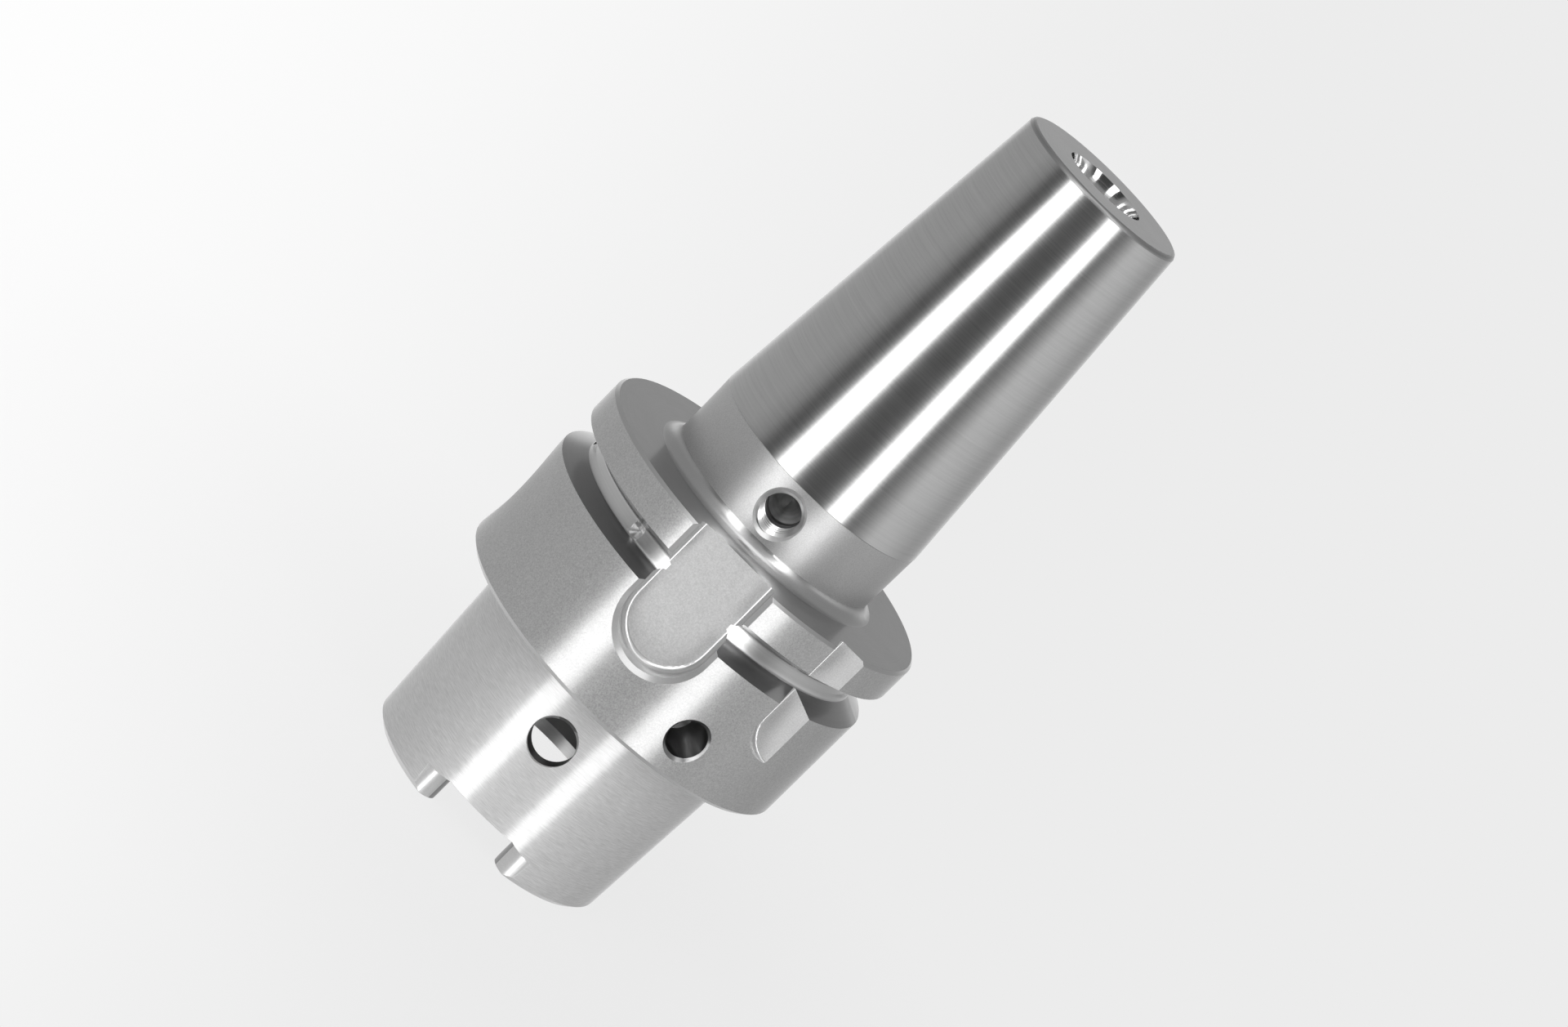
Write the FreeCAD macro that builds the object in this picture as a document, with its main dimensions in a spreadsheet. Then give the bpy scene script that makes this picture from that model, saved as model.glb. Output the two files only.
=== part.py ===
import FreeCAD, Part
import math
import os
import Sketcher

# Shrink fit chuck with a hollow taper shank of size 50, for a tool shank of 10 mm.
# Z is the turning axis and points to the nose. Z = 0 is the flange's contact face.
# The narrow keyway faces -Y. Angles turn about Z, from -Y towards +X.

DRIVING_DIMENSIONS = {
    # hollow taper shank
    "taper_gauge_radius": 19.0045,
    "taper_gauge_height": -5.0,
    "taper_slope": 0.0501,
    "shank_length": 24.8,
    "shank_end_chamfer": 0.75,
    # clamping cavity inside the shank
    "mouth_radius": 13.6,
    "mouth_chamfer": 0.8,
    "clamp_groove_radius": 16.0,
    "clamp_shoulder_low": -15.69,
    "clamp_shoulder_high": -11.53,
    "cavity_floor": 3.0,
    "cavity_corner": 1.2,
    "tube_seat_radius": 9.5,
    "tube_seat_depth": 4.0,
    "coolant_thread_radius": 8.0,
    "coolant_thread_length": 9.0,
    "coolant_bore_radius": 3.0,
    # drive slots in the shank's end
    "drive_slot_width": 10.54,
    "drive_slot_floor_near": -20.4,
    "drive_slot_floor_far": -17.3,
    "flank_round": 3.0,
    "flank_ledge": 15.93,
    "flank_run_out": 0.9,
    "access_hole_radius": 3.05,
    "access_hole_height": -7.5,
    "access_hole_chamfer": 0.35,
    # flange
    "flange_radius": 25.0,
    "flange_width": 26.0,
    "flange_rear_chamfer": 0.6,
    "flange_front_chamfer": 0.4,
    "gripper_groove_radius": 21.5,
    "groove_mouth_rear": 16.15,
    "groove_floor_rear": 17.98,
    "groove_floor_front": 19.78,
    "groove_mouth_front": 21.33,
    "groove_corner": 0.45,
    "groove_corner_share": 0.15,
    # keyways, notch and drilled marks in the flange
    "keyway_near_width": 12.0,
    "keyway_near_floor": 20.9,
    "keyway_far_width": 14.0,
    "keyway_far_floor": 15.5,
    "keyway_end_height": 8.25,
    "keyway_corner": 0.8,
    "keyway_chamfer": 0.65,
    "notch_wall": 15.9,
    "notch_floor": 15.0,
    "notch_cutter_radius": 4.0,
    "notch_end_height": 8.35,
    "notch_corner": 0.4,
    "scallop_depth": 0.56,
    "scallop_radius": 47.0,
    "scallop_height": 8.1,
    "spot_radius": 1.05,
    "spot_height": 18.85,
    "balance_hole_radius": 2.6,
    "balance_hole_height": 5.6,
    "balance_hole_angle": 26.8,
    "balance_hole_depth": 7.5,
    "balance_hole_chamfer": 0.45,
    # collar and nose
    "collar_foot_fillet": 1.7,
    "collar_rear_radius": 15.65,
    "collar_front_radius": 15.8,
    "collar_front_height": 36.0,
    "nose_length": 85.0,
    "nose_tip_radius": 12.0,
    "nose_slope": 0.0787,
    "nose_edge": 0.55,
    "nose_edge_share": 0.3,
    "tool_bore_radius": 5.0,
    "tool_bore_depth": 42.0,
    "tool_bore_chamfer": 0.7,
    # radial threads for balancing screws in the collar
    "collar_thread_radius": 3.0,
    "collar_thread_height": 31.7,
    "collar_thread_depth": 6.3,
    "collar_thread_chamfer": 0.48,
    "collar_drill_radius": 2.5,
    "collar_drill_depth": 7.5,
    # length stop screw behind the tool bore
    "stop_thread_radius": 4.0,
    "stop_thread_floor": 20.0,
    "screw_radius": 3.95,
    "screw_length": 17.0,
    "screw_top": 42.0,
    "screw_chamfer": 0.6,
    "screw_socket_width": 4.0,
    "screw_socket_depth": 4.5,
    "screw_passage_radius": 1.25,
}

COLLAR_THREADS = 3
SPOT_ANGLES = (-30.0, -90.0)
DRILL_POINT = math.tan(math.radians(31.0))
CLEAR = 2.0


class Length:
    """A length, share or angle together with the spreadsheet expression that gives it."""

    def __init__(self, value, text):
        self.value = value
        self.text = text

    def __add__(self, other):
        other = as_length(other)
        return Length(self.value + other.value, f"({self.text} + {other.text})")

    def __sub__(self, other):
        other = as_length(other)
        return Length(self.value - other.value, f"({self.text} - {other.text})")

    def __mul__(self, other):
        other = as_length(other)
        return Length(self.value * other.value, f"({self.text} * {other.text})")

    def __neg__(self):
        return Length(-self.value, f"(0 - {self.text})")


def as_length(number):
    if isinstance(number, Length):
        return number
    return Length(float(number), f"{float(number):.6f}")


def fill_sheet(document):
    """Write the driving dimensions to the sheet and give them back as lengths."""
    sheet = document.addObject("Spreadsheet::Sheet", "Sizes")
    lengths = {}
    for row, (name, value) in enumerate(DRIVING_DIMENSIONS.items(), start=1):
        sheet.set(f"A{row}", name)
        sheet.set(f"B{row}", str(value))
        sheet.setAlias(f"B{row}", name)
        lengths[name] = Length(value, f"Sizes.{name}")
    document.recompute()
    return lengths


def origin_feature(body, role):
    for feature in body.Origin.OriginFeatures:
        if feature.Role == role:
            return feature
    raise ValueError(f"{body.Label} has no {role}")


def new_sketch(body, name, plane, offset=None, lift=None, turn=None):
    """A sketch on one of the body's origin planes.

    offset moves it along the plane's normal, lift along the sketch's own vertical,
    and turn is an angle in degrees about that vertical.
    """
    sketch = body.newObject("Sketcher::SketchObject", name)
    sketch.AttachmentSupport = [(origin_feature(body, plane), "")]
    sketch.MapMode = "FlatFace"
    if turn is not None:
        turn = as_length(turn)
        turned = FreeCAD.Rotation(FreeCAD.Vector(0, 1, 0), turn.value)
        sketch.AttachmentOffset = FreeCAD.Placement(FreeCAD.Vector(), turned)
        if turn.value:
            sketch.setExpression("AttachmentOffset.Rotation.Angle", turn.text)
    if offset is not None:
        sketch.setExpression("AttachmentOffset.Base.z", as_length(offset).text)
    if lift is not None:
        sketch.setExpression("AttachmentOffset.Base.y", as_length(lift).text)
    return sketch


def bind(sketch, kind, where, length):
    """Add a dimension to the sketch and bind it to its expression."""
    length = as_length(length)
    index = sketch.addConstraint(Sketcher.Constraint(kind, *where, length.value))
    sketch.setExpression(f"Constraints[{index}]", length.text)


def pin(sketch, geometry, end, across, up):
    """Place one end of a line by its two distances from the sketch's origin."""
    bind(sketch, "DistanceX", (-1, 1, geometry, end), across)
    bind(sketch, "DistanceY", (-1, 1, geometry, end), up)


def draw_outline(sketch, corners):
    """Close a chain of straight lines through the corners."""
    corners = [(as_length(across), as_length(up)) for across, up in corners]
    places = [FreeCAD.Vector(across.value, up.value, 0) for across, up in corners]
    count = len(places)
    for index in range(count):
        following = places[(index + 1) % count]
        sketch.addGeometry(Part.LineSegment(places[index], following), False)
    for index in range(count):
        joined = ("Coincident", index, 2, (index + 1) % count, 1)
        sketch.addConstraint(Sketcher.Constraint(*joined))
        pin(sketch, index, 1, *corners[index])


def draw_round_slot(sketch, middle, width, end_height, open_height):
    """A slot that is round at its low end and square at its open end."""
    middle, width = as_length(middle), as_length(width)
    end_height, open_height = as_length(end_height), as_length(open_height)
    half = width * 0.5
    centre = end_height + half
    left, right = (middle - half).value, (middle + half).value
    low, high = centre.value, open_height.value
    corners = [(left, low), (left, high), (right, high), (right, low)]
    places = [FreeCAD.Vector(across, up, 0) for across, up in corners]
    for start, finish in zip(places, places[1:]):
        sketch.addGeometry(Part.LineSegment(start, finish), False)
    circle = Part.Circle(FreeCAD.Vector(middle.value, low, 0), FreeCAD.Vector(0, 0, 1), half.value)
    sketch.addGeometry(Part.ArcOfCircle(circle, math.pi, 2 * math.pi), False)
    for rule in (
        ("Coincident", 0, 2, 1, 1),
        ("Coincident", 1, 2, 2, 1),
        ("Coincident", 3, 1, 0, 1),
        ("Coincident", 3, 2, 2, 2),
        ("Vertical", 0),
        ("Horizontal", 1),
        ("Vertical", 2),
        ("Horizontal", 0, 1, 3, 3),
        ("Horizontal", 2, 2, 3, 3),
    ):
        sketch.addConstraint(Sketcher.Constraint(*rule))
    pin(sketch, 3, 3, middle, centre)
    bind(sketch, "Radius", (3,), half)
    bind(sketch, "DistanceY", (-1, 1, 0, 2), open_height)


def draw_circle(sketch, across, up, radius):
    across, up, radius = as_length(across), as_length(up), as_length(radius)
    middle = FreeCAD.Vector(across.value, up.value, 0)
    sketch.addGeometry(Part.Circle(middle, FreeCAD.Vector(0, 0, 1), radius.value), False)
    pin(sketch, 0, 3, across, up)
    bind(sketch, "Radius", (0,), radius)


def revolve(body, kind, name, sketch, axis):
    feature = body.newObject(f"PartDesign::{kind}", name)
    feature.Profile = sketch
    feature.ReferenceAxis = (sketch, [axis])
    feature.Angle = 360.0
    return feature


def pocket(body, name, sketch, depth, along_normal=False, both_ways=False):
    feature = body.newObject("PartDesign::Pocket", name)
    feature.Profile = sketch
    feature.setExpression("Length", as_length(depth).text)
    feature.Reversed = along_normal
    feature.Midplane = both_ways
    return feature


def must_remove(document, body, before, name):
    """Recompute, and stop if the last feature took nothing away."""
    document.recompute()
    volume = body.Shape.Volume
    if volume > before - 1e-3:
        raise RuntimeError(f"{name} cuts nothing")
    return volume


def chosen_edges(shape, wanted):
    names = []
    for number, edge in enumerate(shape.Edges, start=1):
        if wanted(edge):
            names.append(f"Edge{number}")
    return names


def dress(document, body, kind, name, size, wanted):
    """Round or chamfer the edges of the body that the test picks out."""
    document.recompute()
    base = body.Tip
    names = chosen_edges(base.Shape, wanted)
    if not names:
        raise RuntimeError(f"{name} finds no edge")
    feature = body.newObject(f"PartDesign::{kind}", name)
    feature.Base = (base, names)
    feature.setExpression("Radius" if kind == "Fillet" else "Size", size.text)
    document.recompute()
    if not feature.Shape.isValid() or "Invalid" in feature.State:
        raise RuntimeError(f"{name} failed")
    return feature


def is_ring(edge, radius, height, slack=0.01):
    """True for a full circle about the Z axis with this radius at this height."""
    if not isinstance(edge.Curve, Part.Circle):
        return False
    middle = edge.Curve.Center
    on_axis = math.hypot(middle.x, middle.y) < slack
    return on_axis and abs(edge.Curve.Radius - radius) < slack and abs(middle.z - height) < slack


def taper_radius(size, height):
    """Outer radius of the taper at a height, from the gauge plane."""
    return size["taper_gauge_radius"] + (height - size["taper_gauge_height"]) * size["taper_slope"]


def turned_outline(size):
    """The half section of the chuck, from the shank's end to the nose and back inside.

    Two bevels break the nose's front edge.
    """
    end = -size["shank_length"]
    end_radius = taper_radius(size, end)
    flange = size["flange_radius"]
    front = size["flange_width"]
    nose = size["nose_length"]
    cone_start = size["nose_tip_radius"] + (nose - size["collar_front_height"]) * size["nose_slope"]
    edge = size["nose_edge"]
    bevel = edge * size["nose_edge_share"]
    bore_floor = nose - size["tool_bore_depth"]
    thread_mouth = bore_floor - (size["tool_bore_radius"] - size["stop_thread_radius"])
    seat_floor = size["cavity_floor"] + size["tube_seat_depth"]
    thread_end = seat_floor + size["coolant_thread_length"]
    point = (size["coolant_thread_radius"] - size["coolant_bore_radius"]) * DRILL_POINT
    outside = [
        (end_radius - size["shank_end_chamfer"], end),
        (end_radius, end + size["shank_end_chamfer"]),
        (taper_radius(size, as_length(0)), as_length(0)),
        (flange - size["flange_rear_chamfer"], as_length(0)),
        (flange, size["flange_rear_chamfer"]),
        (flange, front),
        (size["collar_rear_radius"], front),
        (size["collar_front_radius"], size["collar_front_height"]),
        (cone_start, size["collar_front_height"] + 0.06),
        (size["nose_tip_radius"] + edge * size["nose_slope"], nose - edge),
        (size["nose_tip_radius"] - bevel, nose - bevel),
        (size["nose_tip_radius"] - edge, nose),
    ]
    inside = [
        (size["tool_bore_radius"] + size["tool_bore_chamfer"], nose),
        (size["tool_bore_radius"], nose - size["tool_bore_chamfer"]),
        (size["tool_bore_radius"], bore_floor),
        (size["stop_thread_radius"], thread_mouth),
        (size["stop_thread_radius"], size["stop_thread_floor"]),
        (size["coolant_bore_radius"], size["stop_thread_floor"]),
        (size["coolant_bore_radius"], thread_end + point),
        (size["coolant_thread_radius"], thread_end),
        (size["coolant_thread_radius"], seat_floor),
        (size["tube_seat_radius"], seat_floor),
        (size["tube_seat_radius"], size["cavity_floor"]),
        (size["clamp_groove_radius"] - size["cavity_corner"], size["cavity_floor"]),
        (size["clamp_groove_radius"], size["cavity_floor"] - size["cavity_corner"]),
        (size["clamp_groove_radius"], size["clamp_shoulder_high"]),
        (size["mouth_radius"], size["clamp_shoulder_low"]),
        (size["mouth_radius"], end + size["mouth_chamfer"]),
        (size["mouth_radius"] + size["mouth_chamfer"], end),
    ]
    return outside + inside


def turn_blank(document, body, size):
    """The turned shape before any milling, with the round foot of its collar."""
    sketch = new_sketch(body, "TurnedSection", "XZ_Plane")
    draw_outline(sketch, turned_outline(size))
    revolve(body, "Revolution", "TurnedBlank", sketch, "V_Axis")
    collar = size["collar_rear_radius"].value
    front = size["flange_width"].value
    dress(document, body, "Fillet", "CollarFoot", size["collar_foot_fillet"],
          lambda edge: is_ring(edge, collar, front))


def groove_outline(size):
    """The gripper groove: a flat floor, two sloping walls and a small bevel in each corner."""
    flange, floor = size["flange_radius"], size["gripper_groove_radius"]
    outer = flange + CLEAR
    share, corner = size["groove_corner_share"], size["groove_corner"]
    low, high = size["groove_mouth_rear"], size["groove_mouth_front"]
    floor_low, floor_high = size["groove_floor_rear"], size["groove_floor_front"]
    bevel_radius = floor + (flange - floor) * share
    return [
        (outer, low),
        (flange, low),
        (bevel_radius, floor_low - (floor_low - low) * share),
        (floor, floor_low + corner),
        (floor, floor_high - corner),
        (bevel_radius, floor_high + (high - floor_high) * share),
        (flange, high),
        (outer, high),
    ]


def finish_rim(document, body, size):
    """Turn the gripper groove and the flange's front edge once the keyways are milled."""
    groove = new_sketch(body, "GripperGrooveSection", "XZ_Plane")
    draw_outline(groove, groove_outline(size))
    before = body.Shape.Volume
    revolve(body, "Groove", "GripperGroove", groove, "V_Axis")
    before = must_remove(document, body, before, "GripperGroove")
    flange, front, edge = size["flange_radius"], size["flange_width"], size["flange_front_chamfer"]
    bevel = new_sketch(body, "FrontEdgeSection", "XZ_Plane")
    draw_outline(bevel, [(flange, front - edge), (flange + CLEAR, front - edge),
                         (flange + CLEAR, front + CLEAR), (flange - edge, front + CLEAR),
                         (flange - edge, front)])
    revolve(body, "Groove", "FrontEdge", bevel, "V_Axis")
    must_remove(document, body, before, "FrontEdge")


def mill_drive_slot(document, body, size, name, side, floor):
    """One slot across the shank's end. side is -1 at the narrow keyway and 1 opposite it."""
    half = size["drive_slot_width"] * 0.5
    low = -size["shank_length"] - CLEAR
    sketch = new_sketch(body, f"{name}Section", "XZ_Plane")
    draw_outline(sketch, [(-half, low), (half, low), (half, floor), (-half, floor)])
    before = body.Shape.Volume
    pocket(body, name, sketch, size["flange_radius"], along_normal=side < 0)
    must_remove(document, body, before, name)
    for hand, label in ((-1, "Left"), (1, "Right")):
        round_slot_flank(document, body, size, f"{name}{label}", side, hand, floor)


def draw_flank(sketch, size, side, hand, reach):
    """The metal outside a slot wall's rounding: a convex quarter arc and a ledge beside it.

    reach is the arc's radius. A smaller arc lies further out.
    """
    wall = size["drive_slot_width"] * 0.5
    ledge = size["flank_ledge"] + (size["flank_round"] - reach)
    start = ledge - reach
    turn = wall + reach
    outer = turn + CLEAR
    top = size["taper_gauge_radius"]
    corners = [(wall, start), (turn, ledge), (outer, ledge), (outer, top), (wall, top)]
    places = [FreeCAD.Vector(hand * across.value, side * up.value, 0) for across, up in corners]
    middle = FreeCAD.Vector(hand * turn.value, side * start.value, 0)
    circle = Part.Circle(middle, FreeCAD.Vector(0, 0, 1), reach.value)
    quarter = {(1, 1): 1, (-1, 1): 0, (1, -1): 2, (-1, -1): 3}[(hand, side)] * math.pi / 2
    sketch.addGeometry(Part.ArcOfCircle(circle, quarter, quarter + math.pi / 2), False)
    for start_place, finish in zip(places[1:], places[2:] + places[:1]):
        sketch.addGeometry(Part.LineSegment(start_place, finish), False)
    at_wall = 1 if hand != side else 2
    sketch.addConstraint(Sketcher.Constraint("Coincident", 0, 3 - at_wall, 1, 1))
    sketch.addConstraint(Sketcher.Constraint("Coincident", 4, 2, 0, at_wall))
    for line in (1, 2, 3):
        sketch.addConstraint(Sketcher.Constraint("Coincident", line, 2, line + 1, 1))
    for line, (across, up) in zip((1, 2, 3, 4), corners[1:]):
        pin(sketch, line, 1, across * hand, up * side)
    bind(sketch, "DistanceX", (-1, 1, 4, 2), wall * hand)
    bind(sketch, "DistanceY", (-1, 1, 4, 2), start * side)
    bind(sketch, "DistanceX", (-1, 1, 0, 3), turn * hand)


def round_slot_flank(document, body, size, name, side, hand, floor):
    """Round the outer edge of one slot wall, and run the rounding out at the slot's floor."""
    shoulder = floor - size["flank_run_out"]
    low = -size["shank_length"] - CLEAR
    straight = new_sketch(body, f"{name}Section", "XY_Plane", offset=low)
    draw_flank(straight, size, side, hand, size["flank_round"])
    before = body.Shape.Volume
    pocket(body, f"{name}Rounding", straight, shoulder - low, along_normal=True)
    before = must_remove(document, body, before, name)
    wide = new_sketch(body, f"{name}RunOutStart", "XY_Plane", offset=shoulder)
    draw_flank(wide, size, side, hand, size["flank_round"])
    narrow = new_sketch(body, f"{name}RunOutEnd", "XY_Plane", offset=floor)
    draw_flank(narrow, size, side, hand, size["flank_round"] * 0.3)
    loft = body.newObject("PartDesign::SubtractiveLoft", f"{name}RunOut")
    loft.Profile = wide
    loft.Sections = [narrow]
    loft.Ruled = True
    must_remove(document, body, before, f"{name}RunOut")


def radial_hole(document, body, name, angle, height, outline):
    """A turned recess on a radial axis. outline holds (distance from Z, hole radius) pairs."""
    sketch = new_sketch(body, f"{name}Section", "YZ_Plane", lift=height, turn=angle)
    draw_outline(sketch, [(-distance, radius) for distance, radius in outline])
    before = body.Shape.Volume
    groove = revolve(body, "Groove", name, sketch, "H_Axis")
    must_remove(document, body, before, name)
    return groove


def drill_access_holes(document, body, size):
    """Two holes through the shank's wall, one behind each keyway, for the clamping unit's key."""
    radius, chamfer = size["access_hole_radius"], size["access_hole_chamfer"]
    surface = taper_radius(size, size["access_hole_height"])
    inner = size["clamp_groove_radius"] - CLEAR
    outline = [
        (inner, as_length(0)),
        (inner, radius),
        (surface - chamfer, radius),
        (surface + CLEAR, radius + chamfer + CLEAR),
        (surface + CLEAR, as_length(0)),
    ]
    for name, angle in (("AccessHoleNear", 0.0), ("AccessHoleFar", 180.0)):
        radial_hole(document, body, name, angle, size["access_hole_height"], outline)


def blind_outline(surface, radius, chamfer, depth):
    """A blind drilled hole with a chamfered mouth and a drill's point at its floor."""
    floor = surface - depth
    return [
        (floor - radius * DRILL_POINT, as_length(0)),
        (floor, radius),
        (surface - chamfer, radius),
        (surface + CLEAR, radius + chamfer + CLEAR),
        (surface + CLEAR, as_length(0)),
    ]


def drill_flange(document, body, size):
    """The balancing hole in the flange and the two spot marks in the gripper groove."""
    outline = blind_outline(size["flange_radius"], size["balance_hole_radius"],
                            size["balance_hole_chamfer"], size["balance_hole_depth"])
    radial_hole(document, body, "BalanceHole", size["balance_hole_angle"],
                size["balance_hole_height"], outline)
    surface, radius = size["gripper_groove_radius"], size["spot_radius"]
    spot = [
        (surface - radius * 0.9, as_length(0)),
        (surface + 0.4, radius + 0.4),
        (surface + 0.4, as_length(0)),
    ]
    for number, angle in enumerate(SPOT_ANGLES, start=1):
        radial_hole(document, body, f"SpotMark{number}", angle, size["spot_height"], spot)


def tap_collar(document, body, size):
    """The radial threads for balancing screws, spaced evenly round the collar."""
    middle_radius = (size["collar_rear_radius"] + size["collar_front_radius"]) * 0.5
    thread, drill = size["collar_thread_radius"], size["collar_drill_radius"]
    thread_floor = middle_radius - size["collar_thread_depth"]
    drill_floor = middle_radius - size["collar_drill_depth"]
    chamfer = size["collar_thread_chamfer"]
    outline = [
        (drill_floor - drill * DRILL_POINT, as_length(0)),
        (drill_floor, drill),
        (thread_floor, drill),
        (thread_floor + (thread - drill), thread),
        (middle_radius - chamfer, thread),
        (middle_radius + CLEAR, thread + chamfer + CLEAR),
        (middle_radius + CLEAR, as_length(0)),
    ]
    first = radial_hole(document, body, "CollarThread", 0.0, size["collar_thread_height"], outline)
    before = body.Shape.Volume
    pattern = body.newObject("PartDesign::PolarPattern", "CollarThreads")
    pattern.Originals = [first]
    pattern.Axis = (origin_feature(body, "Z_Axis"), [""])
    pattern.Angle = 360.0
    pattern.Occurrences = COLLAR_THREADS
    body.Tip = pattern
    must_remove(document, body, before, "CollarThreads")


def mill_keyway(document, body, size, which, side):
    """One keyway along the flange, open to the front. Its corners and its rim are broken."""
    width, floor = size[f"keyway_{which}_width"], size[f"keyway_{which}_floor"]
    title = which.capitalize()
    front = size["flange_width"]
    sketch = new_sketch(body, f"Keyway{title}Section", "XZ_Plane", offset=floor * -side)
    draw_round_slot(sketch, 0, width, size["keyway_end_height"], front + CLEAR)
    before = body.Shape.Volume
    pocket(body, f"Keyway{title}", sketch, size["flange_radius"] - floor + CLEAR, along_normal=side < 0)
    must_remove(document, body, before, f"Keyway{title}")
    height = side * floor.value
    half = width.value / 2
    end_centre = size["keyway_end_height"].value + half

    def on_floor(edge):
        box = edge.BoundBox
        flat = abs(box.YMin - height) < 0.01 and abs(box.YMax - height) < 0.01
        if not flat or box.ZMax > front.value + 0.01:
            return False
        straight_side = abs(abs(edge.CenterOfMass.x) - half) < 0.01
        round_end = isinstance(edge.Curve, Part.Circle) and abs(edge.Curve.Radius - half) < 0.01
        return straight_side or round_end

    dress(document, body, "Fillet", f"Keyway{title}Corners", size["keyway_corner"], on_floor)

    def on_rim(edge):
        middle = edge.valueAt((edge.FirstParameter + edge.LastParameter) / 2)
        if side * middle.y < size["gripper_groove_radius"].value * 0.8:
            return False
        if not 0 < middle.z < front.value - 0.01:
            return False
        radii = [math.hypot(vertex.X, vertex.Y) for vertex in edge.Vertexes]
        at_surface = all(abs(radius - size["flange_radius"].value) < 0.01 for radius in radii)
        on_side = abs(abs(middle.x) - half) < 0.01
        off_axis = math.hypot(middle.x, middle.z - end_centre)
        on_end = middle.z < end_centre and abs(off_axis - half) < 0.01
        return at_surface and (on_side or on_end)

    dress(document, body, "Chamfer", f"Keyway{title}Rim", size["keyway_chamfer"], on_rim)


def mill_notch(document, body, size):
    """The orientation notch beside the narrow keyway, with a round corner at its floor."""
    radius = size["notch_cutter_radius"]
    sketch = new_sketch(body, "NotchSection", "XZ_Plane", offset=size["notch_floor"])
    draw_round_slot(sketch, size["notch_wall"] + radius, radius * 2, size["notch_end_height"],
                    size["flange_width"] + CLEAR)
    before = body.Shape.Volume
    pocket(body, "OrientationNotch", sketch, size["flange_radius"], along_normal=True)
    must_remove(document, body, before, "OrientationNotch")
    depth, wall = -size["notch_floor"].value, size["notch_wall"].value
    middle = size["notch_end_height"].value + radius.value

    def on_floor(edge):
        box = edge.BoundBox
        flat = abs(box.YMin - depth) < 0.01 and abs(box.YMax - depth) < 0.01
        along_wall = abs(box.XMin - wall) < 0.01 and abs(box.XMax - wall) < 0.01
        round_end = isinstance(edge.Curve, Part.Circle) and box.ZMax < middle + 0.01
        return flat and (along_wall or round_end)

    dress(document, body, "Fillet", "NotchCorner", size["notch_corner"], on_floor)


def mill_scallop(document, body, size):
    """The shallow scallop on the flange's -X side."""
    radius = size["scallop_radius"]
    away = -(size["flange_radius"] - size["scallop_depth"]) - radius
    sketch = new_sketch(body, "ScallopSection", "XZ_Plane")
    draw_circle(sketch, away, size["scallop_height"], radius)
    before = body.Shape.Volume
    pocket(body, "Scallop", sketch, size["flange_radius"] * 2, both_ways=True)
    must_remove(document, body, before, "Scallop")


def build_chuck(document, size):
    body = document.addObject("PartDesign::Body", "ChuckBody")
    body.Label = "chuck_body"
    turn_blank(document, body, size)
    mill_scallop(document, body, size)
    mill_keyway(document, body, size, "near", -1)
    mill_keyway(document, body, size, "far", 1)
    mill_notch(document, body, size)
    finish_rim(document, body, size)
    mill_drive_slot(document, body, size, "DriveSlotNear", -1, size["drive_slot_floor_near"])
    mill_drive_slot(document, body, size, "DriveSlotFar", 1, size["drive_slot_floor_far"])
    drill_access_holes(document, body, size)
    drill_flange(document, body, size)
    tap_collar(document, body, size)
    return body


def build_stop_screw(document, size):
    """The grub screw that sets the tool's depth, with a socket in each end."""
    body = document.addObject("PartDesign::Body", "LengthStopScrew")
    body.Label = "length_stop_screw"
    radius, chamfer, length = size["screw_radius"], size["screw_chamfer"], size["screw_length"]
    passage = size["screw_passage_radius"]
    section = new_sketch(body, "ScrewSection", "XZ_Plane")
    draw_outline(section, [
        (passage, as_length(0)),
        (radius - chamfer, as_length(0)),
        (radius, chamfer),
        (radius, length - chamfer),
        (radius - chamfer, length),
        (passage, length),
    ])
    revolve(body, "Revolution", "ScrewBlank", section, "V_Axis")
    document.recompute()
    corner = size["screw_socket_width"] * (1 / math.sqrt(3))
    turns = [math.radians(60 * index) for index in range(6)]
    hexagon = [(corner * math.cos(turn), corner * math.sin(turn)) for turn in turns]
    for name, start, upward in (("SocketLow", as_length(0), True), ("SocketHigh", length, False)):
        sketch = new_sketch(body, f"{name}Section", "XY_Plane", offset=start)
        draw_outline(sketch, hexagon)
        before = body.Shape.Volume
        pocket(body, name, sketch, size["screw_socket_depth"], along_normal=upward)
        must_remove(document, body, before, name)
    body.Placement = FreeCAD.Placement(FreeCAD.Vector(), FreeCAD.Rotation())
    body.setExpression("Placement.Base.z", (size["screw_top"] - length).text)
    return body


def check(document, bodies):
    for item in document.Objects:
        if "Invalid" in item.State or "Error" in item.State:
            raise RuntimeError(f"{item.Label} is {item.State}")
    for body in bodies:
        shape = body.Shape
        if shape.isNull() or not shape.isValid() or len(shape.Solids) != 1:
            raise RuntimeError(f"{body.Label} is not one valid solid")


def main():
    document = FreeCAD.newDocument("ShrinkFitChuck")
    size = fill_sheet(document)
    bodies = [build_chuck(document, size), build_stop_screw(document, size)]
    document.recompute()
    check(document, bodies)
    os.makedirs("parts", exist_ok=True)
    for body in bodies:
        body.Shape.exportStep(f"parts/{body.Label}.step")
        box = body.Shape.BoundBox
        print(body.Label, round(body.Shape.Volume, 1), [round(side, 2) for side in
              (box.XMin, box.YMin, box.ZMin, box.XMax, box.YMax, box.ZMax)])


main()
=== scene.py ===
import math

import bpy
from mathutils import Matrix, Vector


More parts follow.
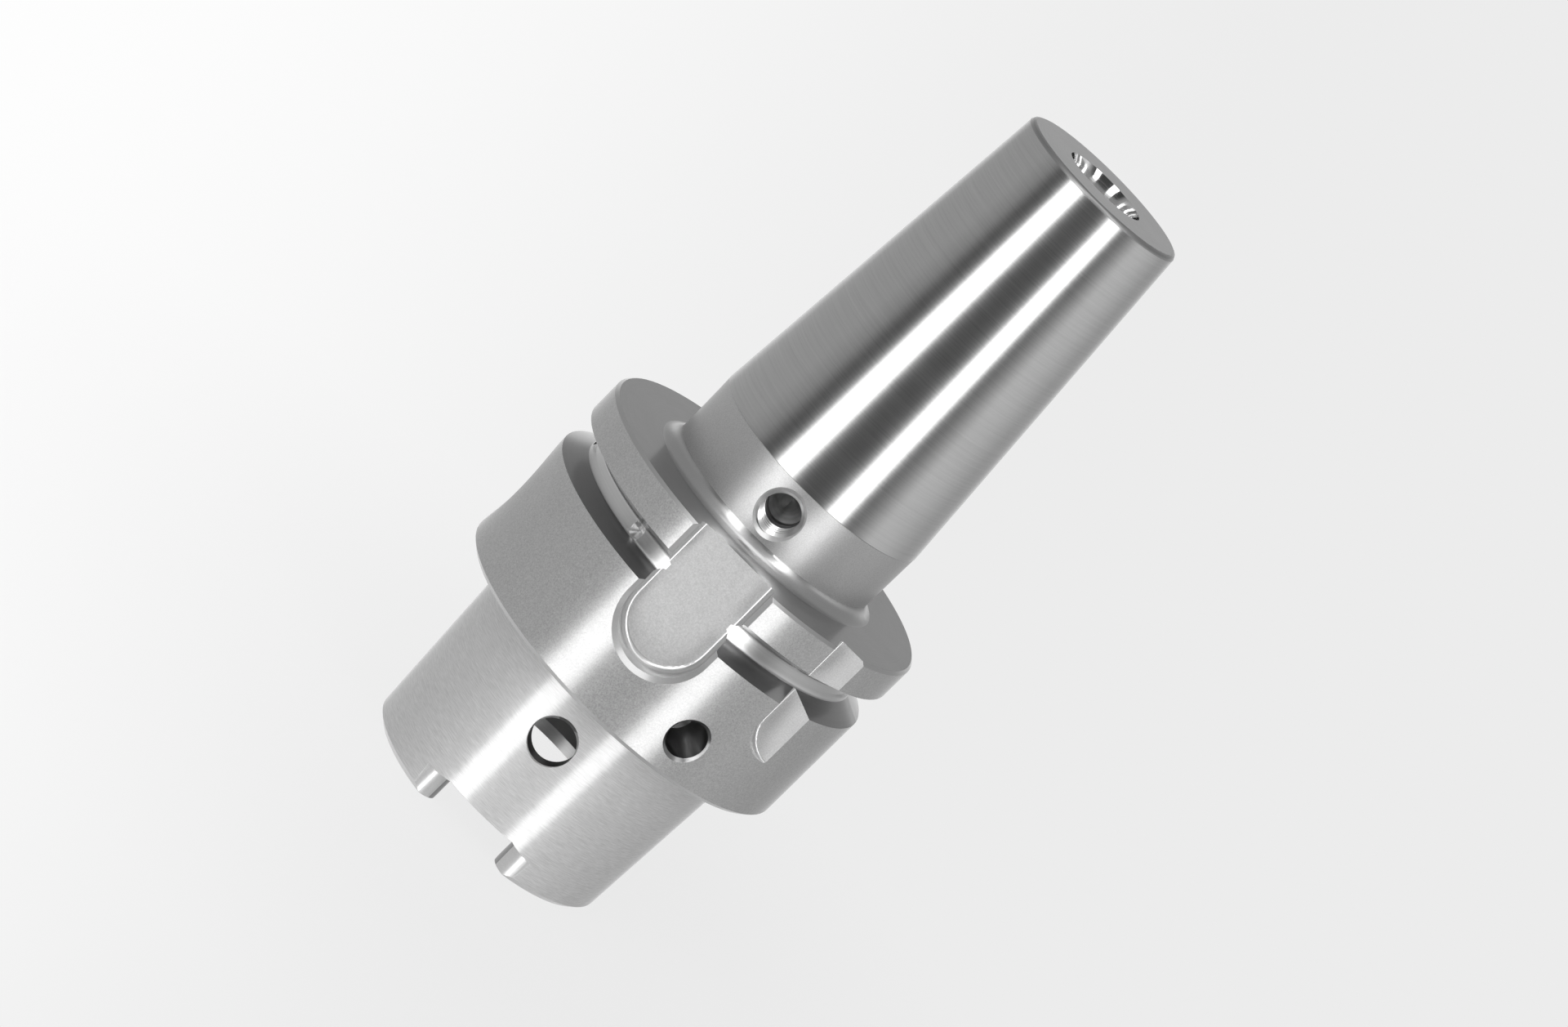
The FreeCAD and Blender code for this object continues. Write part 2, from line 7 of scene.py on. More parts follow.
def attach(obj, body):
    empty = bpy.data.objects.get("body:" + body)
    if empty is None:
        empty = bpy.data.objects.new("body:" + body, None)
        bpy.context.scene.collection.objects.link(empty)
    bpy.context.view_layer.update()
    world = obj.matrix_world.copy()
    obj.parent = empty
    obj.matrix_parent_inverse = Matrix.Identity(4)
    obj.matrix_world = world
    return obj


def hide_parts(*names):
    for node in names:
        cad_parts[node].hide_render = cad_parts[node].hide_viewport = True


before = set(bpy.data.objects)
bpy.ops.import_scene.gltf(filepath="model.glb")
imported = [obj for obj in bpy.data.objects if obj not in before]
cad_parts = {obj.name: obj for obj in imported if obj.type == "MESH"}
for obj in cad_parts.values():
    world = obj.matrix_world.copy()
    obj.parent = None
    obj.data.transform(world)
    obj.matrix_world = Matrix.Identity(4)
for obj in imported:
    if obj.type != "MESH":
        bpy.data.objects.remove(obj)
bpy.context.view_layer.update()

MM = 0.001

# Heights and radii of the turned form, in millimetres. Z = 0 is the flange's contact face.
SHANK_END = -24.8
TAPER_RADIUS = 19.255
TAPER_SLOPE = 0.0501
CAVITY_RADIUS = 16.05
FLANGE_RADIUS = 25.0
FLANGE_FRONT = 26.0
FLANGE_EDGE = 0.65
FLANGE_FRONT_EDGE = 25.5
GROOVE_REAR = 16.15
GROOVE_FRONT = 21.33
GROOVE_RADIUS = 21.5
GROOVE_ROOT = (17.7, 20.02)
GROOVE_ROOT_RADIUS = 22.03
GROOVE_ROOT_LEAN = 0.9
GROOVE_CURVE = 5.0
FOOT_TOP = 27.8
COLLAR_REAR_RADIUS = 15.65
COLLAR_FRONT_RADIUS = 15.8
COLLAR_FRONT = 36.0
NOSE_CONE_RADIUS = 15.86
NOSE_TIP = 85.0
NOSE_TIP_RADIUS = 12.0
NOSE_EDGE = 0.55
NOSE_SLOPE = (NOSE_CONE_RADIUS - NOSE_TIP_RADIUS) / (NOSE_TIP - COLLAR_FRONT)
BORE_RADIUS = 5.0
BORE_CHAMFER = 0.7
BORE_FLOOR = 43.0
LEAD_IN = 6.0
LEAD_IN_SLOPE = 0.14
STOP_THREAD_FLOOR = 20.0

# Holes across the axis. Angles turn from -Y towards +X, in degrees. A sink holds the radii by
# which on_sink knows the facets of a hole's conical mouth.
COLLAR_HOLE_HEIGHT = 31.7
COLLAR_HOLE_COUNT = 3
COLLAR_SINK = (2.97, 2.97, 3.9)
ACCESS_HEIGHT = -7.5
ACCESS_COUNT = 2
ACCESS_SINK = (3.02, 3.08, 3.5)
BALANCE_HOLE_HEIGHT = 5.6
BALANCE_HOLE_ANGLE = 26.8
BALANCE_HOLE_RADIUS = 3.1
DRIVE_SLOT_TOP = -16.3

# Spot marks lie on sixths of a turn. Each cone's point is at SPOT_POINT from the turning axis, and
# its radius grows by SPOT_SLOPE outwards.
SPOT_HEIGHT = 18.85
SPOT_ANGLES = (-30.0, -90.0)
SPOT_PLACES = 6
SPOT_POINT = 20.555
SPOT_SLOPE = 1.078
SPOT_RADIUS = 1.1

# How far a facet's corners may lie from the form that names its finish, in millimetres
SLACK = 0.03
LEVEL_SLACK = 0.01
TURNED_SLACK = 0.05
BORE_SLACK = 0.1
COLLAR_SLACK = 0.12

# Parts of a normal along one axis
SQUARE_ON = 0.98
STEEP = 0.5

# A finish has a dull base and smooth plateaus. Turned finishes spread light along Z.
MOST_PLATEAU = 0.36
ALONG_AXIS = 0.25
NOISE_RANGE = (0.3, 0.7)
WEAR_SIZE = 5.0
WEAR = 0.08


def taper_radius(z):
    return TAPER_RADIUS + z * TAPER_SLOPE


def collar_radius(z):
    share = (z - FLANGE_FRONT) / (COLLAR_FRONT - FLANGE_FRONT)
    return COLLAR_REAR_RADIUS + share * (COLLAR_FRONT_RADIUS - COLLAR_REAR_RADIUS)


def nose_radius(z):
    share = (z - COLLAR_FRONT) / (NOSE_TIP - COLLAR_FRONT)
    return NOSE_CONE_RADIUS + share * (NOSE_TIP_RADIUS - NOSE_CONE_RADIUS)


# Node helpers

def add(tree, kind, inputs=None, **settings):
    """A new node. Inputs hold plain values or the sockets that they are linked from."""
    node = tree.nodes.new(kind)
    for name, value in settings.items():
        setattr(node, name, value)
    for name, value in (inputs or {}).items():
        if isinstance(value, bpy.types.NodeSocket):
            tree.links.new(value, node.inputs[name])
        else:
            node.inputs[name].default_value = value
    return node


def math_node(tree, operation, first, second=0.0):
    return add(tree, "ShaderNodeMath", {0: first, 1: second}, operation=operation).outputs[0]


def vector_node(tree, operation, first, second=None, output="Vector"):
    inputs = {0: first}
    if second is not None:
        inputs[1] = second
    return add(tree, "ShaderNodeVectorMath", inputs, operation=operation).outputs[output]


def combine(tree, x=0.0, y=0.0, z=0.0):
    return add(tree, "ShaderNodeCombineXYZ", {"X": x, "Y": y, "Z": z}).outputs[0]


def flat_length(tree, x, y):
    return vector_node(tree, "LENGTH", combine(tree, x, y), output="Value")


def scaled(tree, vector, factor):
    inputs = {0: vector, "Scale": factor}
    return add(tree, "ShaderNodeVectorMath", inputs, operation="SCALE").outputs[0]


def remap(tree, value, low, high, new_low, new_high, smooth=False):
    kind = "SMOOTHSTEP" if smooth else "LINEAR"
    node = add(tree, "ShaderNodeMapRange", {"Value": value, "From Min": low, "From Max": high,
                                            "To Min": new_low, "To Max": new_high},
               interpolation_type=kind)
    return node.outputs["Result"]


def axes(tree):
    """The place on the object and its three coordinates, in metres."""
    place = add(tree, "ShaderNodeTexCoord").outputs["Object"]
    split = add(tree, "ShaderNodeSeparateXYZ", {"Vector": place})
    return place, [split.outputs[axis] for axis in "XYZ"]


def noise(tree, vector, scale, detail, seed):
    node = add(tree, "ShaderNodeTexNoise", {"Vector": vector, "W": seed, "Scale": scale,
                                            "Detail": detail, "Roughness": 0.65},
               noise_dimensions="4D")
    return node.outputs["Fac"]


def ring_noise(tree, pitch_mm, along, detail=3.0, seed=0.0):
    """Noise drawn out into rings about the turning axis. along is its change per radian."""
    _, (x, y, height) = axes(tree)
    angle = math_node(tree, "ARCTAN2", y, x)
    travelled = math_node(tree, "ADD", flat_length(tree, x, y), height)
    around_x = math_node(tree, "MULTIPLY", math_node(tree, "COSINE", angle), along)
    around_y = math_node(tree, "MULTIPLY", math_node(tree, "SINE", angle), along)
    rings = math_node(tree, "MULTIPLY", travelled, 1 / (pitch_mm * MM))
    return noise(tree, combine(tree, around_x, around_y, rings), 1.0, detail, seed)


def grain_noise(tree, size_mm, detail=3.0, seed=3.0):
    place, _ = axes(tree)
    return noise(tree, place, 1 / (size_mm * MM), detail, seed)


def from_hole_axis(tree, angle_deg, height_mm, count):
    """Places relative to the nearest of some holes that are spaced evenly about Z.

    Gives the hole's own angle, and the distance across and above its axis.
    """
    _, (x, y, height) = axes(tree)
    angle = math_node(tree, "ARCTAN2", x, math_node(tree, "MULTIPLY", y, -1.0))
    turned = math_node(tree, "SUBTRACT", angle, math.radians(angle_deg))
    step = 2 * math.pi / count
    whole = math_node(tree, "ROUND", math_node(tree, "DIVIDE", turned, step))
    own = math_node(tree, "ADD", math_node(tree, "MULTIPLY", whole, step), math.radians(angle_deg))
    beside = math_node(tree, "SINE", math_node(tree, "SUBTRACT", angle, own))
    across = math_node(tree, "MULTIPLY", flat_length(tree, x, y), beside)
    return own, across, math_node(tree, "SUBTRACT", height, height_mm * MM)


def swirl_noise(tree, pitch_mm, angle_deg, height_mm, count):
    """Noise in circles about a hole's own axis."""
    _, across, rise = from_hole_axis(tree, angle_deg, height_mm, count)
    circles = math_node(tree, "MULTIPLY", flat_length(tree, across, rise), 1 / (pitch_mm * MM))
    return noise(tree, combine(tree, circles), 1.0, 2.0, 1.0)


def bump(tree, height, depth_mm, normal):
    inputs = {"Height": height, "Distance": depth_mm * MM, "Strength": 1.0, "Normal": normal}
    return add(tree, "ShaderNodeBump", inputs).outputs["Normal"]


def as_normal(tree, vector):
    """Turns a direction in the object's own axes into a normal."""
    unit = vector_node(tree, "NORMALIZE", vector)
    world = add(tree, "ShaderNodeVectorTransform", {"Vector": unit},
                vector_type="NORMAL", convert_from="OBJECT", convert_to="WORLD")
    return world.outputs["Vector"]


def turned_normal(tree, out, up):
    """A normal that points out from Z and up along it, in these two shares."""
    _, (x, y, _) = axes(tree)
    outward = scaled(tree, vector_node(tree, "NORMALIZE", combine(tree, x, y)), out)
    return as_normal(tree, vector_node(tree, "ADD", outward, combine(tree, z=up)))


def sunk(angle_deg, height_mm, count, slope=1.0):
    """The exact normal of the conical mouths of some holes. slope is 1 at half a right angle."""
    def form(tree):
        own, across, rise = from_hole_axis(tree, angle_deg, height_mm, count)
        sine, cosine = math_node(tree, "SINE", own), math_node(tree, "COSINE", own)
        aside = combine(tree, math_node(tree, "MULTIPLY", cosine, across),
                        math_node(tree, "MULTIPLY", sine, across), rise)
        outward = combine(tree, math_node(tree, "MULTIPLY", sine, slope),
                          math_node(tree, "MULTIPLY", cosine, -slope))
        return as_normal(tree, vector_node(tree, "SUBTRACT", outward,
                                           vector_node(tree, "NORMALIZE", aside)))
    return form


def cone(slope):
    """The exact normal of a cylinder or cone about Z. slope is its rise towards +Z."""
    return lambda tree: turned_normal(tree, 1.0, slope)


def nose_edge_normal(tree):
    """The nose's front face turns into its side round a quarter circle."""
    _, (x, y, height) = axes(tree)
    flat_radius = (NOSE_TIP_RADIUS - NOSE_EDGE) * MM
    beyond = math_node(tree, "SUBTRACT", flat_length(tree, x, y), flat_radius)
    up = math_node(tree, "SUBTRACT", height, (NOSE_TIP - NOSE_EDGE) * MM)
    return turned_normal(tree, math_node(tree, "MAXIMUM", beyond, 0.0), up)


def bore_normal(tree):
    """The tool bore is lapped a little open towards its mouth."""
    _, (_, _, height) = axes(tree)
    start, end = (NOSE_TIP - LEAD_IN) * MM, (NOSE_TIP - LEAD_IN / 2) * MM
    return turned_normal(tree, -1.0, remap(tree, height, start, end, 0.0, LEAD_IN_SLOPE))


def groove_root_normal(tree):
    """The gripper groove's floor is nearly flat, and curves up into each wall."""
    _, (_, _, height) = axes(tree)
    across = remap(tree, height, GROOVE_ROOT[0] * MM, GROOVE_ROOT[1] * MM, 1.0, -1.0)
    near_wall = math_node(tree, "MINIMUM", math_node(tree, "ABSOLUTE", across), 1.0)
    curve = math_node(tree, "POWER", near_wall, GROOVE_CURVE)
    up = math_node(tree, "MULTIPLY", math_node(tree, "SIGN", across),
                   math_node(tree, "MULTIPLY", curve, GROOVE_ROOT_LEAN))
    rest = math_node(tree, "SUBTRACT", 1.0, math_node(tree, "MULTIPLY", up, up))
    return turned_normal(tree, math_node(tree, "SQRT", rest), up)


def spot_normal(tree):
    """A spot mark is conical as far as the drill went, and the groove's floor goes on beyond."""
    _, across, rise = from_hole_axis(tree, SPOT_ANGLES[0], SPOT_HEIGHT, SPOT_PLACES)
    beyond = math_node(tree, "GREATER_THAN", flat_length(tree, across, rise), SPOT_RADIUS * MM)
    dimple = sunk(SPOT_ANGLES[0], SPOT_HEIGHT, SPOT_PLACES, SPOT_SLOPE)(tree)
    change = vector_node(tree, "SUBTRACT", groove_root_normal(tree), dimple)
    return vector_node(tree, "ADD", dimple, scaled(tree, change, beyond))


def broken_edges(tree, radius_mm, normal):
    """Lets the normal turn at each edge, as on an edge that was broken with a stone."""
    rounded = add(tree, "ShaderNodeBevel", {"Radius": radius_mm * MM}, samples=4).outputs["Normal"]
    if normal is None:
        return rounded
    plain = add(tree, "ShaderNodeNewGeometry").outputs["Normal"]
    change = vector_node(tree, "SUBTRACT", rounded, plain)
    return vector_node(tree, "NORMALIZE", vector_node(tree, "ADD", normal, change))


def metal(name, tone, sharp, dull, share=0.5, anisotropy=0.0, rings=None, grain=None, swirl=None,
          form=None, edge=0.06, tone_change=0.06):
    """A steel finish.

    tone is all that it mirrors. The plateaus, with the roughness sharp, take share of that, and the
    base, with the roughness dull, takes the rest. rings is (pitch, depth, change per radian), grain
    is (size, depth), and swirl is (pitch, depth, angle, height, count), in millimetres and degrees.
    form gives the exact normal where the facets only come near it. The last pattern also varies the
    shade, by tone_change either way.
    """
    material = bpy.data.materials.new(name)
    material.use_nodes = True
    tree = material.node_tree
    tree.nodes.clear()
    plateau = min(MOST_PLATEAU, tone * share)
    root = math.sqrt(plateau)
    shader = add(tree, "ShaderNodeBsdfPrincipled", {
        "Metallic": 1.0, "Coat Weight": 1.0, "Coat IOR": (1 + root) / (1 - root),
        "Coat Roughness": sharp})
    add(tree, "ShaderNodeOutputMaterial", {"Surface": shader.outputs["BSDF"]})
    normal = broken_edges(tree, edge, form(tree) if form else None)
    patterns = []
    if rings:
        pitch, depth, along = rings
        patterns.append((ring_noise(tree, pitch, along), depth))
    if grain:
        size, depth = grain
        patterns.append((grain_noise(tree, size), depth))
    if swirl:
        pitch, depth, angle, height, count = swirl
        patterns.append((swirl_noise(tree, pitch, angle, height, count), depth))
    for pattern, depth in patterns:
        normal = bump(tree, pattern, depth, normal)
    tree.links.new(normal, shader.inputs["Normal"])
    tree.links.new(normal, shader.inputs["Coat Normal"])
    wear = remap(tree, grain_noise(tree, WEAR_SIZE, seed=7.0), *NOISE_RANGE, 1 - WEAR, 1 + WEAR)
    tree.links.new(math_node(tree, "MULTIPLY", dull, wear), shader.inputs["Roughness"])
    last_pattern, _ = patterns[-1]
    shade = remap(tree, last_pattern, *NOISE_RANGE, 1 - tone_change, 1 + tone_change)
    base = (tone - plateau) / (1 - plateau)
    tree.links.new(scaled(tree, (base, base, base), shade), shader.inputs["Base Color"])
    if anisotropy:
        shader.inputs["Anisotropic"].default_value = anisotropy
        shader.inputs["Anisotropic Rotation"].default_value = ALONG_AXIS
        tangent = add(tree, "ShaderNodeTangent", direction_type="RADIAL", axis="Z")
        tree.links.new(tangent.outputs[0], shader.inputs["Tangent"])
    return material


FINISHES = {
    "taper": lambda: metal("ground_taper", 0.85, 0.17, 0.72, 0.2, 0.55, rings=(0.12, 0.0006, 12.0),
                           form=cone(-TAPER_SLOPE), tone_change=0.13),
    "flange": lambda: metal("ground_flange", 0.64, 0.20, 0.66, 0.36, 0.55,
                            rings=(0.10, 0.0004, 12.0), grain=(0.18, 0.003), form=cone(0.0),
                            tone_change=0.24),
    "edge": lambda: metal("turned_edge", 0.66, 0.20, 0.36, 0.5, 0.5, rings=(0.2, 0.001, 1.5)),
    "groove": lambda: metal("turned_groove", 0.66, 0.20, 0.34, 0.5, 0.4, rings=(0.2, 0.001, 1.5),
                            form=groove_root_normal, edge=0.03),
    # Painted shade: the gripper groove's walls get a darker tone than its floor, for the shade that
    # falls between them.
    "wall": lambda: metal("turned_groove_wall_painted_shade", 0.34, 0.18, 0.32, 0.5, 0.5,
                          rings=(0.2, 0.001, 1.0)),
    "milled": lambda: metal("milled_floor", 0.70, 0.45, 0.75, 0.2, grain=(0.2, 0.006),
                            tone_change=0.14),
    "slot": lambda: metal("milled_side", 0.66, 0.20, 0.42, 0.4, grain=(0.2, 0.002)),
    "flank": lambda: metal("milled_flank", 0.84, 0.24, 0.50, 0.35, grain=(0.2, 0.001), edge=0.04),
    "spot": lambda: metal("drilled_spot", 0.68, 0.26, 0.42, 0.4, grain=(0.2, 0.001), edge=0.02,
                          form=spot_normal),
    # Painted shade: the faces square to the axis get a darker tone than the turned sides of the
    # same steel, for the dim light that they mirror.
    "face": lambda: metal("turned_face_painted_shade", 0.38, 0.12, 0.30, 0.5, 0.3, rings=(0.16, 0.0010, 1.0)),
    "foot": lambda: metal("turned_foot", 0.56, 0.20, 0.38, 0.5, 0.3, grain=(0.12, 0.004)),
    "collar": lambda: metal("blasted_collar", 0.58, 0.32, 0.50, 0.36, 0.3, grain=(0.16, 0.006),
                             tone_change=0.22),
    "nose": lambda: metal("turned_nose", 0.62, 0.17, 0.32, 0.58, 0.85, rings=(0.22, 0.0012, 0.8),
                          form=cone(NOSE_SLOPE), tone_change=0.14),
    # Painted shade: the nose's front face and its rounded edge get a darker tone than the nose's
    # sides, for the dim light that they mirror.
    "tip": lambda: metal("turned_tip_painted_shade", 0.38, 0.26, 0.50, 0.3, 0.3, rings=(0.16, 0.0010, 1.0),
                         form=nose_edge_normal),
    "bore": lambda: metal("lapped_bore", 0.80, 0.06, 0.12, 0.45, 0.3, rings=(0.3, 0.0006, 2.0),
                          form=bore_normal),
    "sink": lambda: metal("countersunk_mouth", 0.80, 0.26, 0.50, grain=(0.2, 0.002), edge=0.03,
                          form=sunk(0.0, COLLAR_HOLE_HEIGHT, COLLAR_HOLE_COUNT)),
    "access": lambda: metal("access_hole_mouth", 0.80, 0.26, 0.50, grain=(0.2, 0.002), edge=0.03,
                            form=sunk(0.0, ACCESS_HEIGHT, ACCESS_COUNT)),
    # Painted shade: the access holes' bores get a much darker tone than their mouths, for the shade
    # inside them.
    "access_wall_painted_shade": lambda: metal("access_hole_wall_painted_shade", 0.20, 0.30, 0.50, tone_change=0.15,
                                 swirl=(0.3, 0.02, 0.0, ACCESS_HEIGHT, ACCESS_COUNT)),
    # Painted shade: the collar holes' bores get a darker tone than their mouths, for the shade deep
    # in the holes.
    "drilled": lambda: metal("drilled_steel_painted_shade", 0.52, 0.20, 0.44, tone_change=0.15, edge=0.03,
                             swirl=(0.3, 0.02, 0.0, COLLAR_HOLE_HEIGHT, COLLAR_HOLE_COUNT)),
    # Painted shade: the balance hole gets a darker tone than the steel round it, for the shade
    # inside it.
    "balance": lambda: metal("drilled_balance_hole_painted_shade", 0.36, 0.20, 0.38, tone_change=0.15, edge=0.03,
                             swirl=(0.3, 0.02, BALANCE_HOLE_ANGLE, BALANCE_HOLE_HEIGHT, 1)),
    "inside": lambda: metal("turned_inside", 0.45, 0.26, 0.40, 0.5, 0.6, rings=(0.3, 0.002, 1.0)),
}


# Which finish each facet of the chuck has

def on_profile(points, radius_at, slack=SLACK):
    return all(abs(math.hypot(p.x, p.y) - radius_at(p.z)) < slack for p in points)


def from_hole(point, angle_deg, height):
    """A point's distance out along a radial hole's axis, and its distance from that axis."""
    turn = math.radians(angle_deg)
    across = point.x * math.cos(turn) + point.y * math.sin(turn)
    outward = point.x * math.sin(turn) - point.y * math.cos(turn)
    return outward, math.hypot(across, point.z - height)


def on_spot(points, angle_deg):
    """True for a facet on the cone that the drill's point left in the groove."""
    places = [from_hole(point, angle_deg, SPOT_HEIGHT) for point in points]
    return all(abs(offset - (out - SPOT_POINT) * SPOT_SLOPE) < 2 * SLACK for out, offset in places)


def on_sink(points, height, count, least, widest, most):
    """True for a facet in the conical mouth of one of some holes.

    least and most limit all its corners' distances from the hole's axis, and widest is exceeded.
    """
    for number in range(count):
        places = [from_hole(point, number * 360 / count, height) for point in points]
        offsets = [offset for _, offset in places]
        on_side = min(out for out, _ in places) > 0
        if on_side and min(offsets) > least and widest < max(offsets) < most:
            return True
    return False


def finish_of(points, normal):
    """Names the finish of one facet from its corners, in millimetres, and its normal."""
    low = min(p.z for p in points)
    high = max(p.z for p in points)
    radii = [math.hypot(p.x, p.y) for p in points]
    inner, outer = min(radii), max(radii)
    middle = sum(points, Vector()) / len(points)
    level = high - low < LEVEL_SLACK
    if outer < CAVITY_RADIUS and high < BORE_FLOOR + SLACK and inner < CAVITY_RADIUS - SLACK:
        deep = high < STOP_THREAD_FLOOR + SLACK
        if deep or outer < BORE_RADIUS + SLACK and not level:
            return "inside"
    on_bore = inner > BORE_RADIUS - BORE_SLACK and outer < BORE_RADIUS + SLACK
    if on_bore and low > BORE_FLOOR - SLACK:
        return "bore"
    if low > NOSE_TIP - BORE_CHAMFER - SLACK:
        on_chamfer = not level and outer < BORE_RADIUS + BORE_CHAMFER + SLACK
        return "bore" if on_chamfer else "tip"
    if low > COLLAR_FRONT - LEVEL_SLACK and on_profile(points, nose_radius, TURNED_SLACK):
        return "nose"
    if low > FLANGE_FRONT - LEVEL_SLACK and not level:
        if inner > COLLAR_REAR_RADIUS - SLACK and high < FOOT_TOP:
            return "foot"
        if on_profile(points, collar_radius, COLLAR_SLACK):
            return "collar"
        in_mouth = on_sink(points, COLLAR_HOLE_HEIGHT, COLLAR_HOLE_COUNT, *COLLAR_SINK)
        # Below the mouth, the holes take the finish with painted shade.
        return "sink" if in_mouth else "drilled"
    # The faces square to the axis take the finish with painted shade.
    if level and min(abs(high - FLANGE_FRONT), abs(high)) < LEVEL_SLACK:
        return "face"
    if low > 0 and on_profile(points, lambda z: FLANGE_RADIUS):
        return "flange"
    at_rim = high < FLANGE_EDGE or low > FLANGE_FRONT_EDGE
    if inner > FLANGE_RADIUS - FLANGE_EDGE - SLACK and at_rim:
        return "edge"
    out, offset = from_hole(middle, BALANCE_HOLE_ANGLE, BALANCE_HOLE_HEIGHT)
    if out > 0 and offset < BALANCE_HOLE_RADIUS:
        return "balance"
    if any(on_spot(points, angle) for angle in SPOT_ANGLES):
        return "spot"
    if high < SLACK and on_profile(points, taper_radius, TURNED_SLACK):
        return "taper"
    if high < DRIVE_SLOT_TOP:
        return "flank"
    if high < 0:
        in_mouth = on_sink(points, ACCESS_HEIGHT, ACCESS_COUNT, *ACCESS_SINK)
        return "access" if in_mouth else "access_wall_painted_shade"
    on_keyway_floor = abs(normal.y) > SQUARE_ON
    in_groove = GROOVE_REAR - SLACK < low and high < GROOVE_FRONT + SLACK
    if in_groove and inner > GROOVE_RADIUS - SLACK:
        on_root = GROOVE_ROOT[0] - SLACK < low and high < GROOVE_ROOT[1] + SLACK
        if on_root and outer < GROOVE_ROOT_RADIUS + SLACK and not on_keyway_floor:
            return "groove"
        # Steep walls in the groove take the finish with painted shade.
        if abs(normal.z) > STEEP:
            return "wall"
    return "milled" if on_keyway_floor else "slot"


def dress_chuck(chuck):
    names = list(FINISHES)
    mesh = chuck.data
    mesh.materials.clear()
    for name in names:
        mesh.materials.append(FINISHES[name]())
    places = [vertex.co / MM for vertex in mesh.vertices]
    for polygon in mesh.polygons:
        points = [places[index] for index in polygon.vertices]
        polygon.material_index = names.index(finish_of(points, polygon.normal))


# Threads

CREASE = math.radians(35)


def mesh_piece(name, points_mm, faces, material, body):
    mesh = bpy.data.meshes.new(name)
    mesh.from_pydata([Vector(point) * MM for point in points_mm], [], faces)
    mesh.materials.append(material)
    mesh.shade_smooth()
    mesh.set_sharp_from_angle(angle=CREASE)
    piece = bpy.data.objects.new(name, mesh)
    bpy.context.scene.collection.objects.link(piece)
    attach(piece, body)
    return piece


THREAD_STEPS = 64
RIDGE_BASE = 0.38
RIDGE_CREST = 0.07
FADES_PER_TURN = 3
COLLAR_THREAD = {"pitch": 1.0, "crest": 2.5, "back": 3.05, "start": 10.2, "end": 15.0}
COLLAR_SINK_RADIUS = 3.0
COLLAR_SINK_DISTANCE = 15.245
COOLANT_THREAD = {"pitch": 1.0, "crest": 7.46, "back": 8.06, "start": 7.3, "end": 15.4}


def helix_sections(thread, limit):
    """Cross-sections of a thread's ridge along its helix, as (radius, turn, distance) corners.

    limit gives the least radius that the ridge may have at a distance along the hole.
    """
    pitch, crest, back = thread["pitch"], thread["crest"], thread["back"]
    half_base, half_crest = RIDGE_BASE * pitch, RIDGE_CREST * pitch
    turns = (thread["end"] - thread["start"]) / pitch
    sections = []
    for index in range(int(turns * THREAD_STEPS) + 1):
        travelled = index / THREAD_STEPS
        fade = min(1.0, FADES_PER_TURN * travelled, FADES_PER_TURN * (turns - travelled))
        top = back - fade * (back - crest)
        middle = thread["start"] + travelled * pitch
        corners = []
        for offset, radius in ((-half_base, back), (-half_crest, top),
                               (half_crest, top), (half_base, back)):
            distance = middle + offset
            corners.append((max(radius, limit(distance)), 2 * math.pi * travelled, distance))
        sections.append(corners)
    return sections


def ridge_faces(count):
    faces = [(0, 1, 2, 3), tuple(4 * (count - 1) + corner for corner in (3, 2, 1, 0))]
    for index in range(count - 1):
        first, following = 4 * index, 4 * (index + 1)
        for corner in range(4):
            beside = (corner + 1) % 4
            faces.append((first + beside, first + corner, following + corner, following + beside))
    return faces


def make_ridge(name, thread, limit, place, material):
    sections = helix_sections(thread, limit)
    points = [place(*corner) for corners in sections for corner in corners]
    mesh_piece(name, points, ridge_faces(len(sections)), material, "chuck")


def collar_limit(distance):
    """The countersink cuts the ridge back towards the hole's mouth."""
    return COLLAR_SINK_RADIUS + distance - COLLAR_SINK_DISTANCE


def coolant_place(radius, angle, distance):
    return radius * math.cos(angle), radius * math.sin(angle), distance


def collar_place(number):
    """Places in one of the collar's holes, by radius and angle about it and distance along it."""
    turn = 2 * math.pi * number / COLLAR_HOLE_COUNT
    outward = Vector((math.sin(turn), -math.cos(turn), 0.0))
    upward = Vector((0.0, 0.0, 1.0))
    across = upward.cross(outward)

    def place(radius, angle, distance):
        offset = across * math.cos(angle) + upward * math.sin(angle)
        return outward * distance + upward * COLLAR_HOLE_HEIGHT + offset * radius
    return place


def make_threads():
    """The ridges of the threads in the collar and behind the coolant tube's seat."""
    steel = metal("cut_thread", 0.70, 0.18, 0.32, grain=(0.2, 0.002), edge=0.03)
    for number in range(COLLAR_HOLE_COUNT):
        make_ridge(f"balance_thread_{number + 1}", COLLAR_THREAD, collar_limit,
                   collar_place(number), steel)
    make_ridge("coolant_thread", COOLANT_THREAD, lambda distance: 0.0, coolant_place, steel)


# Length stop screw

SCREW_BOTTOM = 25.0
SCREW_TOP = 42.0
SCREW_CREST = 3.95
SCREW_ROOT = 3.32
SCREW_PITCH = 1.25
SCREW_CREST_SHARE = 0.07
SCREW_FLANK_SHARE = 0.36
SCREW_END_RADIUS = 3.35
SOCKET_WIDTH = 4.0
SOCKET_DEPTH = 4.5
SOCKET_MOUTH = 0.3
SOCKET_FLARE = 0.1
PASSAGE_RADIUS = 1.25
SCREW_SIDES = 96
ROWS_PER_TURN = 14


def hexagon_radius(angle):
    sixth = math.pi / 3
    return SOCKET_WIDTH / 2 / math.cos(angle % sixth - sixth / 2)


def screw_thread_radius(angle, height):
    """Radius of the screw's own thread, limited by the chamfer at each end."""
    phase = (height / SCREW_PITCH - angle / (2 * math.pi)) % 1.0
    rise = min(1.0, max(0.0, (abs(phase - 0.5) - SCREW_CREST_SHARE) / SCREW_FLANK_SHARE))
    from_end = min(height - SCREW_BOTTOM, SCREW_TOP - height)
    return min(SCREW_CREST - rise * (SCREW_CREST - SCREW_ROOT), SCREW_END_RADIUS + from_end)


